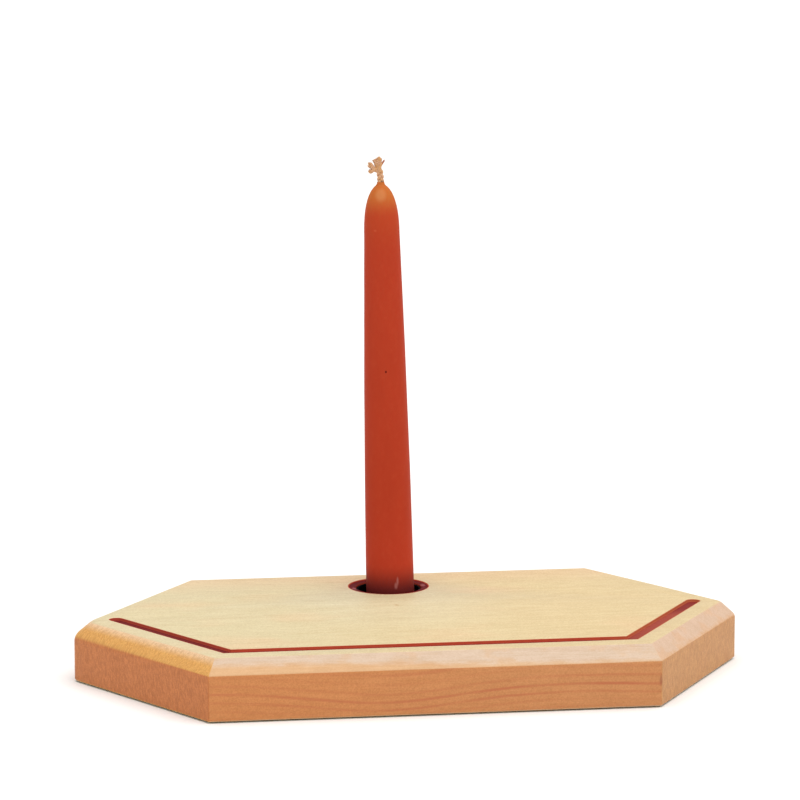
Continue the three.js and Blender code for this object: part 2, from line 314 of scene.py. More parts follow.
def cut_away(obj, cutters):
    """Boolean difference with each cutter, which is then removed."""
    for cutter in cutters:
        change = obj.modifiers.new("cut", "BOOLEAN")
        change.operation = "DIFFERENCE"
        change.solver = "EXACT"
        change.object = cutter
    settle(obj)
    for cutter in cutters:
        bpy.data.objects.remove(cutter)


def soften_cuts(obj, width):
    """Small bevel along the sharp edges."""
    bevel = obj.modifiers.new("soften", "BEVEL")
    bevel.width = width
    bevel.segments = 2
    bevel.limit_method = "ANGLE"
    bevel.angle_limit = CUT_EDGE_ANGLE
    bevel.use_clamp_overlap = True
    settle(obj)


def finish_piece(obj, material, body, slot, *nodes):
    """Material, body and the CAD nodes that the piece stands for; slot is not used."""
    obj.data.materials.clear()
    obj.data.materials.append(material)
    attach(obj, body)
    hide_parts(*nodes)


# ---------------------------------------------------------------- material helpers

class Shade:
    """One node-based material, built a node at a time."""

    def __init__(self, name, **surface):
        self.material = bpy.data.materials.new(name)
        self.material.use_nodes = True
        self.tree = self.material.node_tree
        self.shader = self.tree.nodes["Principled BSDF"]
        for key, value in surface.items():
            self.shader.inputs[key.replace("_", " ")].default_value = value

    def node(self, kind, inputs=(), output=0, **settings):
        made = self.tree.nodes.new("ShaderNode" + kind)
        for key, value in settings.items():
            setattr(made, key, value)
        for key, value in dict(inputs).items():
            self.feed(made.inputs[key], value)
        return made.outputs[output]

    def feed(self, socket, value):
        if isinstance(value, bpy.types.NodeSocket):
            self.tree.links.new(value, socket)
        else:
            socket.default_value = value

    def place(self):
        """Coordinates on the piece, in millimetres."""
        spot = self.node("TexCoord", output="Object")
        return self.node("VectorMath", {0: spot, "Scale": 1 / MM}, operation="SCALE")

    def facing(self):
        """The surface's own direction, as x, y and z."""
        return self.axes(self.node("TexCoord", output="Normal"))

    def axes(self, vector):
        split = self.node("SeparateXYZ", {0: vector}, "X")
        return [split.node.outputs[axis] for axis in "XYZ"]

    def math(self, operation, *values):
        return self.node("Math", dict(enumerate(values)), operation=operation)

    def both(self, first, second):
        """Product of two shares."""
        return self.math("MULTIPLY", first, second)

    def stretch(self, vector, scales):
        return self.node("VectorMath", {0: vector, 1: scales}, operation="MULTIPLY")

    def noise(self, vector, scale, detail=3.0, roughness=0.5):
        inputs = {"Vector": vector, "Scale": scale, "Detail": detail, "Roughness": roughness}
        return self.node("TexNoise", inputs, "Fac")

    def span(self, value, low, high, to_low=0.0, to_high=1.0, smooth=True):
        """Maps low..high to a new range, held at its ends."""
        inputs = {"Value": value, "From Min": low, "From Max": high, "To Min": to_low, "To Max": to_high}
        kind = "SMOOTHSTEP" if smooth else "LINEAR"
        return self.node("MapRange", inputs, interpolation_type=kind)

    def mix(self, share, first, second, blend="MIX"):
        inputs = {"Factor": share, 6: colour(first), 7: colour(second)}
        return self.node("Mix", inputs, 2, data_type="RGBA", blend_type=blend)

    def spot(self, place, centre, size):
        """Soft mark: 1 round its centre, falling to 0 at its half size in each direction."""
        away = self.node("VectorMath", {0: place, 1: centre}, operation="SUBTRACT")
        scaled = self.stretch(away, tuple(1 / half for half in size))
        reach = self.node("VectorMath", {0: scaled}, "Value", operation="LENGTH")
        return self.span(reach, 0.3, 1.0, 1.0, 0.0)

    def tint(self, base, share, low, high):
        """Multiplies a colour by one between two others."""
        return self.mix(1.0, base, self.mix(share, low, high), "MULTIPLY")

    def bump(self, height, distance, strength):
        return self.node("Bump", {"Height": height, "Distance": distance, "Strength": strength})

    def set(self, **sockets):
        for key, value in sockets.items():
            self.feed(self.shader.inputs[key.replace("_", " ")], value)


def colour(value):
    """A socket as it is, or an RGB triple with its alpha."""
    return value if isinstance(value, bpy.types.NodeSocket) else (*value, 1.0)


# ---------------------------------------------------------------- materials

# A tint that changes nothing
PLAIN = (1.0, 1.0, 1.0)

# Maple: growth rings round an axis along X, in front of the board and above it (millimetres).
RING_CENTRE_Y = -187.0
RING_CENTRE_Z = 72.0
RING_SPACING = 1.85
RING_PHASE = 0.31
RING_WARP = 1.2
RING_SEED = 140.0
# The rings dip a little to the left of the board's middle.
RING_DIP = 6.0
RING_DIP_X = -24.0
RING_DIP_WIDTH = 45.0
# They flatten out toward its right end.
RING_FALL = 1.9
RING_FALL_X = (50.0, 110.0)
# End-grain streaks lean this far along the board for each millimetre down it.
RAY_SLANT = -0.45
MAPLE_TOP_LEFT = (0.582, 0.505, 0.311)
MAPLE_TOP_RIGHT = (0.600, 0.475, 0.264)
MAPLE_BLUSH = (0.66, 0.445, 0.26)
# The sides are darker and more orange than the top partly by painted shade; the left face is darker by
# painted shade and the right face lighter by painted light.
MAPLE_FRONT_LEFT = (0.515, 0.205, 0.067)
MAPLE_FRONT_RIGHT = (0.502, 0.219, 0.081)
MAPLE_LEFT_FACE_SHADED = (0.474, 0.159, 0.045)
MAPLE_RIGHT_FACE_LIT = (0.478, 0.232, 0.078)
# The pale chamfer colour is a painted sheen; the left chamfer's golden colour is painted shade.
MAPLE_CHAMFER_SHEEN = (0.555, 0.421, 0.313)
MAPLE_CHAMFER_GOLD = (0.574, 0.348, 0.179)
MAPLE_LEFT_CHAMFER_SHADED = (0.600, 0.308, 0.081)
MAPLE_LINE = (0.43, 0.115, 0.046)
MAPLE_FLECK = (0.42, 0.22, 0.10)
MAPLE_SCORCH_COLOUR = (0.20, 0.05, 0.03)
MAPLE_KNOT_COLOUR = (0.45, 0.29, 0.14)
# How strongly the growth lines show: everywhere, then what is added on the upright sides, what
# is added toward their right end, and what is taken off on end grain.
LINE_DEPTH = 0.10
LINE_ON_SIDES = 0.42
LINE_TO_RIGHT = 0.28
LINE_ON_END_GRAIN = -0.48
# Share of the fine grit that is left out on the chamfer
CALM_ON_CHAMFER = 0.65
# Where the colours change from left to right, and where the top warms toward the back
# (millimetres)
MAPLE_SPREAD_X = (-90.0, 90.0)
MAPLE_BLUSH_Y = (45.0, 80.0)
# Small marks in the wood, and a patch of painted light in front of the socket: middle and half size
MAPLE_SCORCH = ((98.7, -86.9, 12.4), (1.1, 1.1, 3.4))
MAPLE_KNOT = ((-3.6, 12.0, 27.6), (1.4, 3.2, 1.0))
MAPLE_PAINTED_LIGHT_PATCH = ((-3.0, 22.0, 27.6), (60.0, 75.0, 10.0))


def maple():
    s = Shade("maple", IOR=1.5, Specular_IOR_Level=0.3)
    place = s.place()
    x, y, z = s.axes(place)
    nx, _, nz = s.facing()

    # Growth rings
    off = s.math("DIVIDE", s.math("SUBTRACT", x, RING_DIP_X), RING_DIP_WIDTH)
    dip = s.math("EXPONENT", s.both(s.both(off, off), -1.0))
    lift = s.math("MULTIPLY_ADD", dip, RING_DIP, s.span(x, *RING_FALL_X, 0.0, RING_FALL))
    dy = s.math("SUBTRACT", y, RING_CENTRE_Y)
    dz = s.math("SUBTRACT", s.math("ADD", z, lift), RING_CENTRE_Z)
    radius = s.math("SQRT", s.math("ADD", s.both(dy, dy), s.both(dz, dz)))
    warp = s.noise(s.stretch(place, (0.022, 0.10, 0.10)), 1.0, 2.0)
    radius = s.math("MULTIPLY_ADD", warp, RING_WARP, radius)
    turns = s.math("MULTIPLY_ADD", radius, 1 / RING_SPACING, RING_PHASE)
    index = s.math("ADD", s.math("FLOOR", turns), RING_SEED)
    weight = s.node("TexWhiteNoise", {"W": index}, "Value", noise_dimensions="1D")
    weight = s.span(weight, 0.3, 1.0, 0.28, 1.0)
    middle = s.math("ABSOLUTE", s.math("SUBTRACT", s.math("FRACT", turns), 0.5))
    patchy = s.span(s.noise(s.stretch(place, (0.03, 0.08, 0.08)), 1.0, 2.0), 0.35, 0.6, 0.55, 1.0)
    line = s.both(s.both(s.span(middle, 0.02, 0.3, 1.0, 0.0), weight), patchy)

    # Streaks, clouds and flecks between the rings
    fibre = s.noise(s.stretch(place, (0.05, 2.2, 2.2)), 1.0, 4.0, 0.6)
    streak = s.noise(s.stretch(place, (0.012, 0.16, 0.16)), 1.0, 3.0, 0.55)
    cloud = s.noise(s.stretch(place, (0.018, 0.03, 0.05)), 1.0, 2.0)
    pore = s.noise(s.stretch(place, (0.9, 2.6, 2.6)), 1.0, 3.0, 0.6)
    mottle = s.noise(s.stretch(place, (0.10, 0.35, 0.35)), 1.0, 3.0, 0.6)
    grit = s.noise(place, 1.5, 2.0, 0.7)
    slant = s.math("MULTIPLY_ADD", s.both(nx, z), RAY_SLANT, x)
    across = s.node("CombineXYZ", {"X": slant, "Y": y, "Z": s.both(z, 0.12)}, "Vector")
    ray = s.span(s.noise(across, 1.15, 3.0, 0.6), 0.34, 0.66)
    fleck = s.span(s.noise(s.stretch(place, (0.5, 3.2, 3.2)), 1.0, 2.0), 0.64, 0.78)

    # Kinds of surface, each by its direction: flat faces, the chamfer and the upright sides
    upright = s.span(s.math("ABSOLUTE", nz), 0.2, 0.5, 1.0, 0.0)
    flat = s.span(s.math("ABSOLUTE", nz), 0.82, 0.98)
    to_left = s.span(nx, -0.45, -0.25, 1.0, 0.0)
    to_right = s.span(nx, 0.25, 0.45)
    steep = s.math("SUBTRACT", 1.0, flat)
    sloping = s.both(s.math("SUBTRACT", 1.0, upright), steep)
    rightward = s.span(x, *MAPLE_SPREAD_X)
    shoulder, top = (BOARD_TOP - CHAMFER_HEIGHT) / MM, BOARD_TOP / MM
    climb = s.span(z, shoulder, top, smooth=False)

    # Base colours of the top, the sides and the chamfer, partly painted light and shade: the sides darker
    # and more orange than the top, the left face darker and the right face lighter
    face = s.mix(rightward, MAPLE_TOP_LEFT, MAPLE_TOP_RIGHT)
    blush = s.math("ADD", s.span(cloud, 0.5, 0.75, 0.0, 0.4), s.span(y, *MAPLE_BLUSH_Y, 0.0, 0.5))
    face = s.mix(blush, face, MAPLE_BLUSH)
    # A patch of painted light brightens the top in front of the socket, where the candle shades it.
    face = s.tint(face, s.spot(place, *MAPLE_PAINTED_LIGHT_PATCH), PLAIN, (1.01, 1.05, 1.13))
    # Painted shade on the left face and painted light on the right face.
    edge = s.mix(rightward, MAPLE_FRONT_LEFT, MAPLE_FRONT_RIGHT)
    edge = s.mix(to_right, s.mix(to_left, edge, MAPLE_LEFT_FACE_SHADED), MAPLE_RIGHT_FACE_LIT)
    # The chamfer pales toward a painted sheen up its slope and toward the right; the left chamfer keeps
    # painted shade.
    sheen_share = s.math("MULTIPLY_ADD", mottle, -0.5, s.math("MULTIPLY_ADD", rightward, 0.5, -0.18))
    sheen_share = s.span(s.math("ADD", climb, sheen_share), -0.1, 0.35)
    slope = s.mix(sheen_share, MAPLE_CHAMFER_GOLD, MAPLE_CHAMFER_SHEEN)
    curl = s.noise(s.stretch(place, (0.07, 0.10, 0.10)), 1.0, 3.0, 0.6)
    slope = s.mix(s.span(curl, 0.5, 0.68, 0.0, 0.35), slope, MAPLE_CHAMFER_GOLD)
    slope = s.tint(slope, to_right, PLAIN, (1.03, 0.955, 0.92))
    honey = s.mix(s.span(climb, 0.45, 0.95), MAPLE_LEFT_CHAMFER_SHADED, MAPLE_BLUSH)
    slope = s.mix(to_left, slope, s.tint(honey, mottle, (0.90, 0.84, 0.76), (1.08, 1.14, 1.24)))
    wood = s.mix(upright, s.mix(flat, slope, face), edge)

    # Fine variation: the share and the tints at its two ends
    for share, pale, dark in (
        (streak, (1.05, 1.06, 1.08), (0.95, 0.93, 0.91)),
        (s.span(fibre, 0.3, 0.75), (1.03, 1.04, 1.05), (0.96, 0.93, 0.89)),
        (s.span(pore, 0.35, 0.75), (1.03, 1.04, 1.05), (0.96, 0.93, 0.90)),
        (s.span(mottle, 0.3, 0.7), (1.03, 1.035, 1.045), (0.97, 0.965, 0.95)),
    ):
        wood = s.tint(wood, share, pale, dark)
    gritty = s.tint(wood, s.span(grit, 0.3, 0.7), (1.08, 1.10, 1.12), (0.92, 0.90, 0.88))
    wood = s.mix(s.both(sloping, CALM_ON_CHAMFER), gritty, wood)
    end_grain = s.both(s.math("ADD", to_left, to_right), upright)
    rayed = s.math("MAXIMUM", end_grain, s.both(to_left, steep))
    wood = s.tint(wood, rayed, PLAIN, s.mix(ray, (1.12, 1.15, 1.18), (0.89, 0.86, 0.83)))

    # Growth lines, flecks and marks
    depth = s.math("MULTIPLY_ADD", rightward, LINE_TO_RIGHT, LINE_ON_SIDES)
    depth = s.math("MULTIPLY_ADD", upright, depth, LINE_DEPTH)
    depth = s.math("MULTIPLY_ADD", end_grain, LINE_ON_END_GRAIN, depth)
    wood = s.mix(s.both(line, depth), wood, MAPLE_LINE)
    wood = s.mix(s.both(fleck, 0.12), wood, MAPLE_FLECK)
    wood = s.mix(s.both(s.spot(place, *MAPLE_SCORCH), 0.5), wood, MAPLE_SCORCH_COLOUR)
    wood = s.mix(s.both(s.spot(place, *MAPLE_KNOT), 0.45), wood, MAPLE_KNOT_COLOUR)

    grain = s.math("MULTIPLY_ADD", line, -0.3, s.both(fibre, 0.6))
    s.set(
        Base_Color=wood,
        Roughness=s.span(fibre, 0.2, 0.8, 0.42, 0.56),
        Normal=s.bump(grain, 0.05 * MM, 0.6),
    )
    return s.material


# Red wood: walls and lips, and the floor of the hollows darker by painted shade, each from one streak to
# the next.
RED_WALL = ((0.36, 0.050, 0.028), (0.45, 0.072, 0.042))
RED_FLOOR_SHADED = ((0.10, 0.010, 0.011), (0.19, 0.022, 0.020))
RED_PORE = (0.08, 0.010, 0.012)
RED_GLINT = (0.44, 0.16, 0.16)
# The floor's colour starts this far below the board's top (millimetres).
RED_FLOOR_DEPTH = (0.35, 0.15)
# Where its tint changes: from the left strip to the front, on to the right strip, toward that
# strip's far end, and back to the collar (millimetres). The right strip is lighter by painted light.
RED_FRONT_X = (-98.0, -80.0)
RED_RIGHT_X = (70.0, 100.0)
RED_FAR_END_Y = (-22.0, -10.0)
RED_COLLAR_Y = (20.0, 30.0)
# Painted glints on the collar's ledge: middle and half size
COLLAR_GLINTS = (((-17.8, 52.8, 27.0), (1.5, 3.2, 1.0)), ((15.1, 55.5, 27.0), (1.5, 3.6, 1.0)))


def red_wood():
    s = Shade("red_wood", IOR=1.5, Specular_IOR_Level=0.04)
    place = s.place()
    x, y, z = s.axes(place)
    _, _, nz = s.facing()
    streak = s.noise(s.stretch(place, (0.25, 0.9, 0.9)), 1.0, 4.0, 0.6)
    pore = s.noise(s.stretch(place, (0.6, 5.0, 5.0)), 1.0, 3.0, 0.6)
    low, high = (BOARD_TOP / MM - drop for drop in RED_FLOOR_DEPTH)
    deep = s.both(s.span(nz, 0.5, 0.95), s.span(z, low, high, 1.0, 0.0))
    rightward = s.span(x, *RED_RIGHT_X)
    far = s.both(rightward, s.span(y, *RED_FAR_END_Y))
    wall = s.mix(streak, *RED_WALL)
    wall = s.tint(wall, s.span(x, *RED_FRONT_X), PLAIN, (1.22, 1.12, 1.0))
    # The right strip's wall and floor are lighter by painted light.
    wall = s.tint(wall, rightward, PLAIN, (0.96, 1.7, 1.5))
    # The floor of the hollows is darker by painted shade.
    floor = s.mix(streak, *RED_FLOOR_SHADED)
    floor = s.tint(floor, rightward, PLAIN, (2.15, 3.5, 2.4))
    floor = s.tint(floor, far, PLAIN, (0.7, 0.48, 0.6))
    floor = s.tint(floor, s.span(y, *RED_COLLAR_Y), PLAIN, (0.86, 0.25, 0.4))
    wood = s.mix(deep, wall, floor)
    wood = s.mix(s.span(pore, 0.55, 0.75, 0.0, 0.4), wood, RED_PORE)
    # Two pale spots on the collar are painted glints.
    for glint in COLLAR_GLINTS:
        wood = s.mix(s.both(s.spot(place, *glint), 0.5), wood, RED_GLINT)
    s.set(
        Base_Color=wood,
        Roughness=s.span(streak, 0.3, 0.7, 0.5, 0.65),
        Normal=s.bump(pore, 0.05 * MM, 0.6),
    )
    return s.material


def black_enamel():
    s = Shade("black_enamel", IOR=1.2, Specular_IOR_Level=0.03)
    place = s.place()
    peel = s.noise(place, 1.4, 2.0)
    scuff = s.span(s.noise(s.stretch(place, (0.3, 0.3, 2.0)), 1.0, 4.0, 0.7), 0.62, 0.8)
    s.set(
        Base_Color=s.mix(scuff, (0.002, 0.002, 0.003), (0.008, 0.007, 0.008)),
        Roughness=s.span(scuff, 0.0, 1.0, 0.55, 0.7),
        Normal=s.bump(peel, 0.03 * MM, 0.5),
    )
    return s.material


def zinc_steel():
    s = Shade("zinc_steel", Metallic=1.0)
    place = s.place()
    bright = s.noise(place, 1.2, 4.0, 0.6)
    scratch = s.noise(s.stretch(place, (3.0, 0.6, 3.0)), 1.0, 3.0, 0.6)
    s.set(
        Base_Color=s.mix(bright, (0.46, 0.47, 0.47), (0.66, 0.65, 0.60)),
        Roughness=s.span(scratch, 0.3, 0.7, 0.26, 0.48),
        Normal=s.bump(scratch, 0.02 * MM, 0.5),
    )
    return s.material


# Wax: the body's two colours and its mottle, the shoulder and the tip lighter by painted light, the foot
# darker by painted shade, then the marks
WAX_BODY = ((0.385, 0.039, 0.0155), (0.445, 0.048, 0.0185))
WAX_MOTTLE = (0.49, 0.075, 0.032)
WAX_SHOULDER_LIT = (0.46, 0.068, 0.020)
WAX_TIP_LIT = (0.49, 0.150, 0.032)
WAX_FOOT_SHADE = (0.125, 0.0165, 0.0165)
WAX_PALE_STREAK_COLOUR = (0.44, 0.15, 0.13)
WAX_TIP_HIGHLIGHT_COLOUR = (0.62, 0.30, 0.13)
WAX_PALE_SPOT_COLOUR = (0.60, 0.14, 0.07)
WAX_PIT_COLOUR = (0.06, 0.004, 0.003)
# Heights above the candle's foot between which each comes in or fades (millimetres)
WAX_SHOULDER_RISE = (170, 190)
WAX_TIP_RISE = (188, 200)
WAX_PAINTED_LIGHT_FALL = (20, 65)
WAX_FOOT_SHADE_FALL = (11.5, 27)
# Small marks in the wax, a painted highlight on the tip and a pale streak near the foot: middle and half
# size
WAX_PIT = ((-3.8, 44.4, 130.5), (0.6, 0.9, 0.8))
WAX_PALE_SPOT = ((-8.7, 46.3, 195.8), (1.4, 1.4, 0.9))
WAX_TIP_HIGHLIGHT = ((-5.5, 48.6, 212.4), (3.6, 3.6, 5.0))
WAX_PALE_STREAK = ((0.6, 42.9, 29.9), (1.15, 1.3, 2.2))
WAX_PALE_STREAK_TAIL = ((1.3, 43.1, 31.9), (0.75, 1.2, 2.9))


def red_wax():
    s = Shade(
        "red_wax", IOR=1.44, Specular_IOR_Level=0.04, Subsurface_Weight=0.15, Subsurface_Scale=0.003,
    )
    s.shader.inputs["Subsurface Radius"].default_value = (1.0, 0.25, 0.12)
    place = s.place()
    height = s.node("VectorMath", {0: place, 1: tuple(CANDLE_AXIS)}, "Value", operation="DOT_PRODUCT")
    foot = CANDLE_FOOT.dot(CANDLE_AXIS) / MM

    def upward(reach, low=0.0, high=1.0):
        return s.span(height, foot + reach[0], foot + reach[1], low, high)

    bloom = s.noise(s.stretch(place, (0.12, 0.12, 0.03)), 1.0, 3.0)
    mottle = s.noise(s.stretch(place, (0.5, 0.5, 0.3)), 1.0, 4.0, 0.6)
    dents = s.noise(place, 0.22, 3.0)
    wax = s.mix(bloom, *WAX_BODY)
    wax = s.mix(s.span(mottle, 0.45, 0.75, 0.0, 0.15), wax, WAX_MOTTLE)
    # The shoulder and the tip grow lighter by painted light.
    wax = s.mix(upward(WAX_SHOULDER_RISE, 0.0, 0.45), wax, WAX_SHOULDER_LIT)
    wax = s.mix(upward(WAX_TIP_RISE, 0.0, 0.80), wax, WAX_TIP_LIT)
    # Painted light brightens the lower body, offsetting the board's shade.
    wax = s.tint(wax, upward(WAX_PAINTED_LIGHT_FALL), (1.13, 1.10, 1.22), PLAIN)
    # The foot darkens toward the board as painted shade.
    wax = s.mix(upward(WAX_FOOT_SHADE_FALL, 0.96, 0.0), wax, WAX_FOOT_SHADE)
    # A pale streak on the wax near the foot, with a tail above it.
    pale_streak = s.math("MAXIMUM", s.spot(place, *WAX_PALE_STREAK), s.spot(place, *WAX_PALE_STREAK_TAIL))
    wax = s.mix(s.both(pale_streak, 0.7), wax, WAX_PALE_STREAK_COLOUR)
    # A painted highlight on the front of the tip.
    wax = s.mix(s.both(s.spot(place, *WAX_TIP_HIGHLIGHT), 0.30), wax, WAX_TIP_HIGHLIGHT_COLOUR)
    wax = s.mix(s.both(s.spot(place, *WAX_PALE_SPOT), 0.35), wax, WAX_PALE_SPOT_COLOUR)
    wax = s.mix(s.spot(place, *WAX_PIT), wax, WAX_PIT_COLOUR)
    s.set(
        Base_Color=wax,
        Roughness=s.span(mottle, 0.3, 0.7, 0.42, 0.55),
        Normal=s.bump(dents, 0.2 * MM, 0.4),
    )
    return s.material


# The stray strand of the wick, to the right of the rest and high up, is darker (millimetres).
STRAY_STRAND_X = (-4.6, -4.0)
STRAY_STRAND_Z = (223.6, 224.6)
COTTON_SHADES = ((0.40, 0.17, 0.07), (0.74, 0.46, 0.28))
COTTON_WAXED = (0.58, 0.29, 0.09)
COTTON_STRAY = (0.30, 0.06, 0.04)


def cotton():
    s = Shade("cotton", Roughness=0.9, Sheen_Weight=0.2, Sheen_Roughness=0.5)
    place = s.place()
    x, _, z = s.axes(place)
    fibre = s.noise(s.stretch(place, (3.0, 3.0, 1.4)), 1.0, 3.0, 0.6)
    waxed = s.noise(place, 0.55, 2.0)
    thread = s.mix(s.span(fibre, 0.3, 0.65), *COTTON_SHADES)
    thread = s.mix(s.span(waxed, 0.42, 0.58, 0.0, 0.7), thread, COTTON_WAXED)
    stray = s.both(s.span(x, *STRAY_STRAND_X), s.span(z, *STRAY_STRAND_Z))
    s.set(
        Base_Color=s.mix(s.both(stray, 0.75), thread, COTTON_STRAY),
        Normal=s.bump(fibre, 0.08 * MM, 0.8),
    )
    return s.material


def felt():
    s = Shade("felt", Roughness=1.0, Sheen_Weight=0.5, Sheen_Roughness=0.6)
    place = s.place()
    wool = s.noise(place, 2.4, 5.0, 0.7)
    s.set(
        Base_Color=s.mix(wool, (0.05, 0.034, 0.024), (0.13, 0.09, 0.065)),
        Normal=s.bump(wool, 0.2 * MM, 0.9),
    )
    return s.material


def studio_white():
    s = Shade("studio_white", Roughness=0.8)
    place = s.place()
    s.set(Base_Color=s.mix(s.noise(place, 0.004, 2.0), (0.86, 0.86, 0.87), (0.88, 0.88, 0.88)))
    return s.material


# ---------------------------------------------------------------- board

def board_plan(inset, rise):
    """Plan of the board at an inset; rise goes from 0 at the shoulder to 1 at the top."""
    left, right = (low + (high - low) * rise for low, high in (LEFT_END_RADIUS, RIGHT_END_RADIUS))
    blunt = BLUNT_CORNER_RADIUS
    arcs = eased(hexagon(inset), [left, blunt, blunt, right, blunt, blunt], CORNER_STEPS, closed=True)
    points = []
    for i, point in enumerate(arcs):
        points.append(point)
        if i % (CORNER_STEPS + 1) == CORNER_STEPS:
            following = arcs[(i + 1) % len(arcs)]
            points += [point.lerp(following, step / SIDE_STEPS) for step in range(1, SIDE_STEPS)]
    return points


def side_profile(x):
    """(inset, height) pairs up the board's side at a place along it, softest near the ends."""
    softness = []
    for reach, end in ((LEFT_END_REACH, -HALF_LENGTH), (RIGHT_END_REACH, HALF_LENGTH)):
        share = max(0.0, 1 - abs(x - end) / reach)
        softness.append(share * share * (3 - 2 * share))
    lower, upper = (
        plain + softness[0] * (left - plain) + softness[1] * (right - plain)
        for plain, left, right in zip(CHAMFER_EDGES, LEFT_END_EDGES, RIGHT_END_EDGES)
    )
    low, shoulder = BOARD_LOW.z, BOARD_TOP - CHAMFER_HEIGHT
    corners = [
        Vector((BOTTOM_EDGE_RADIUS * 3, low)),
        Vector((0, low)),
        Vector((0, shoulder)),
        Vector((CHAMFER_WIDTH, BOARD_TOP)),
        Vector((CHAMFER_WIDTH * 1.6, BOARD_TOP)),
    ]
    return eased(corners, [0, BOTTOM_EDGE_RADIUS, lower, upper, 0], CORNER_STEPS, closed=False)


def build_board(bm):
    """Skin of the board: an eased plan carried up an eased side profile."""
    profiles = [side_profile(point.x) for point in board_plan(0, 0)]
    rings = []
    for step, (_, z) in enumerate(side_profile(0)):
        rise = min(1.0, max(0.0, 1 - (BOARD_TOP - z) / CHAMFER_HEIGHT))
        edge, inner = board_plan(0, rise), board_plan(CHAMFER_WIDTH, rise)
        ring = []
        for profile, start, end in zip(profiles, edge, inner):
            inset, height = profile[step]
            ring.append((*start.lerp(end, inset / CHAMFER_WIDTH), height))
        rings.append(ring)
    add_rings(bm, rings)


def groove_plan():
    """Plan of the whole groove: two arms and the front run, with half-round ends."""
    outer = hexagon(INLAY_EDGE)[1:3]
    inner = hexagon(INLAY_EDGE + INLAY_WIDTH)[1:3]
    plan = []
    for corner, inside, side in ((outer[1], inner[1], 1), (outer[0], inner[0], -1)):
        along = Vector((side * math.cos(CORNER_TURN), math.sin(CORNER_TURN)))
        across = Vector((-side * math.sin(CORNER_TURN), math.cos(CORNER_TURN)))
        centre = corner + along * INLAY_ARM + across * INLAY_WIDTH / 2
        arm = [corner]
        for step in range(STRIP_END_STEPS + 1):
            angle = math.pi * step / STRIP_END_STEPS
            reach = along * math.sin(angle) - across * math.cos(angle)
            arm.append(centre + reach * INLAY_WIDTH / 2)
        arm.append(inside)
        plan += arm if side > 0 else arm[::-1]
    return plan


def prism(name, plan, low, high):
    """Upright cutter with the given plan."""
    rings = [[(p[0], p[1], z) for p in plan] for z in (low, high)]
    return new_piece(name, lambda bm: add_rings(bm, rings))


def drill(name, radius, low, high, centre, sides=128):
    """Upright round cutter."""
    profile = [(radius, low), (radius, high)]
    return new_piece(name, lambda bm: add_rings(bm, turned_rings(profile, sides, centre)))


def make_board(material):
    board = new_piece("board", build_board)
    above = BOARD_TOP + CUT_OVERRUN
    spot = (SOCKET.x, SOCKET.y)
    cutters = [
        prism("groove", groove_plan(), BOARD_TOP - INLAY_THICKNESS - JOINT_GAP, above),
        drill("collar_seat", SOCKET_RADIUS, COLLAR_LOW.z - JOINT_GAP, above, spot),
        drill("cup_bore", COLLAR_THROAT_RADIUS, CUP_LOW.z - JOINT_GAP, BOARD_TOP, spot),
        drill("pilot", SCREW_RADIUS, SCREW_LOW.z - JOINT_GAP, BOARD_TOP, spot, 32),
    ]
    for name in PADS:
        low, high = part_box(name)
        middle = (low + high) / 2
        radius = (high.x - low.x) / 2 + PAD_CLEARANCE
        below = BOARD_LOW.z - CUT_OVERRUN
        cutters.append(drill("recess", radius, below, high.z + JOINT_GAP, (middle.x, middle.y), 64))
    cut_away(board, cutters)
    soften_cuts(board, CUT_EDGE_WIDTH)
    finish_piece(board, material, "base", "maple", "base_board")


# ---------------------------------------------------------------- inlay

def strip_profile():
    """Section of a strip: flat underneath, with a hollow between two eased lips on top."""
    left, middle, right = JOINT_GAP, INLAY_WIDTH / 2, INLAY_WIDTH - JOINT_GAP
    wall = LIP + LIP_SLOPE
    corners = [
        Vector((left, -INLAY_THICKNESS)), Vector((middle, -INLAY_THICKNESS)),
        Vector((right, -INLAY_THICKNESS)), Vector((right, 0)), Vector((right - LIP, 0)),
        Vector((right - wall, -HOLLOW_DEPTH)), Vector((middle, -HOLLOW_DEPTH - HOLLOW_CROWN)),
        Vector((left + wall, -HOLLOW_DEPTH)), Vector((left + LIP, 0)), Vector((left, 0)),
    ]
    edge, root = LIP_EDGE, HOLLOW_ROOT
    radii = [edge, 0, edge, edge, edge, root, 0, root, edge, edge]
    return eased(corners, radii, 4, closed=True)


def strip_end(section, is_round):
    """Sections of one end, outermost first, as (distance in from the end, y, z)."""
    if not is_round:
        back = JOINT_GAP / math.cos(CORNER_TURN / 2)
        return [[(back + y * math.tan(CORNER_TURN / 2), y, z) for y, z in section]]
    half = INLAY_WIDTH / 2
    rings = []
    for step in range(STRIP_END_STEPS + 1):
        angle = math.pi / 2 * (1 - step / STRIP_END_STEPS)
        out, over = math.sin(angle), math.cos(angle)
        rings.append([(-abs(y - half) * out, half + (y - half) * over, z) for y, z in section])
    return rings


def build_strip(bm, start, angle, length, rounds):
    """Sweeps the section along a strip, round its half-round end if it has one."""
    section = strip_profile()
    place = Matrix.Translation((start.x, start.y, BOARD_TOP)) @ Matrix.Rotation(angle, 4, "Z")
    first, last = (strip_end(section, is_round) for is_round in rounds)
    stations = first + [[(length - x, y, z) for x, y, z in ring] for ring in reversed(last)]
    made = add_rings(bm, [[place @ Vector(p) for p in ring] for ring in stations], caps=False)
    for ring, is_round in zip((made[0], made[-1]), rounds):
        if not is_round:
            bm.faces.new(ring)
    bmesh.ops.remove_doubles(bm, verts=bm.verts, dist=WELD)


